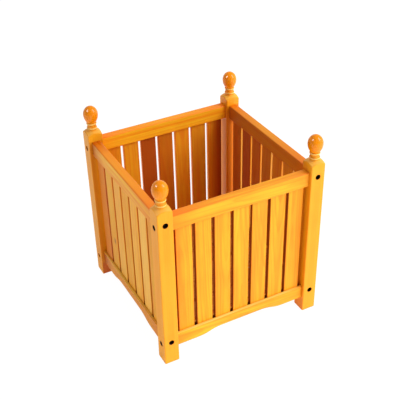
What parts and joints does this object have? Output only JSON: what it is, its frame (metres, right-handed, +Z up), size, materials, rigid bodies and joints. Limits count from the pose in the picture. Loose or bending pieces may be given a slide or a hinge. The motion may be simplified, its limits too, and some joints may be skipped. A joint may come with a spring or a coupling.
{
  "type": "versailles planter",
  "caption": "Square slatted wooden planter box on turned corner posts with ball finials; side panels are screwed between the posts and a slatted floor holds the pot.",
  "frame": {"origin": "on the ground, at the middle of the square footprint", "axes": "+Z up; the front panel faces -Y and the right panel +X"},
  "size_m": [0.4, 0.4, 0.4685],
  "materials": {
    "post_wood": "honey-stained softwood, satin lacquer",
    "rail_wood": "honey-stained softwood, satin lacquer",
    "slat_wood": "honey-stained softwood, satin lacquer",
    "floor_wood": "honey-stained softwood, thin satin lacquer",
    "screw_steel": "black oxide, satin"
  },
  "bodies": {
    "root": {"post_front_left": "post_wood", "post_front_right": "post_wood", "post_back_left": "post_wood", "post_back_right": "post_wood", "front_bottom_rail": "rail_wood", "front_bottom_screw_left": "screw_steel", "front_bottom_screw_right": "screw_steel", "front_top_rail": "rail_wood", "front_top_screw_left": "screw_steel", "front_top_screw_right": "screw_steel", "front_slat_1": "slat_wood", "front_slat_2": "slat_wood", "front_slat_3": "slat_wood", "front_slat_4": "slat_wood", "front_slat_5": "slat_wood", "front_slat_6": "slat_wood", "front_slat_7": "slat_wood", "right_bottom_rail": "rail_wood", "right_bottom_screw_left": "screw_steel", "right_bottom_screw_right": "screw_steel", "right_top_rail": "rail_wood", "right_top_screw_left": "screw_steel", "right_top_screw_right": "screw_steel", "right_slat_1": "slat_wood", "right_slat_2": "slat_wood", "right_slat_3": "slat_wood", "right_slat_4": "slat_wood", "right_slat_5": "slat_wood", "right_slat_6": "slat_wood", "right_slat_7": "slat_wood", "back_bottom_rail": "rail_wood", "back_bottom_screw_left": "screw_steel", "back_bottom_screw_right": "screw_steel", "back_top_rail": "rail_wood", "back_top_screw_left": "screw_steel", "back_top_screw_right": "screw_steel", "back_slat_1": "slat_wood", "back_slat_2": "slat_wood", "back_slat_3": "slat_wood", "back_slat_4": "slat_wood", "back_slat_5": "slat_wood", "back_slat_6": "slat_wood", "back_slat_7": "slat_wood", "left_bottom_rail": "rail_wood", "left_bottom_screw_left": "screw_steel", "left_bottom_screw_right": "screw_steel", "left_top_rail": "rail_wood", "left_top_screw_left": "screw_steel", "left_top_screw_right": "screw_steel", "left_slat_1": "slat_wood", "left_slat_2": "slat_wood", "left_slat_3": "slat_wood", "left_slat_4": "slat_wood", "left_slat_5": "slat_wood", "left_slat_6": "slat_wood", "left_slat_7": "slat_wood", "slatted_floor": "floor_wood", "floor_bearer_left": "floor_wood", "floor_bearer_right": "floor_wood"}
  },
  "joints": []
}
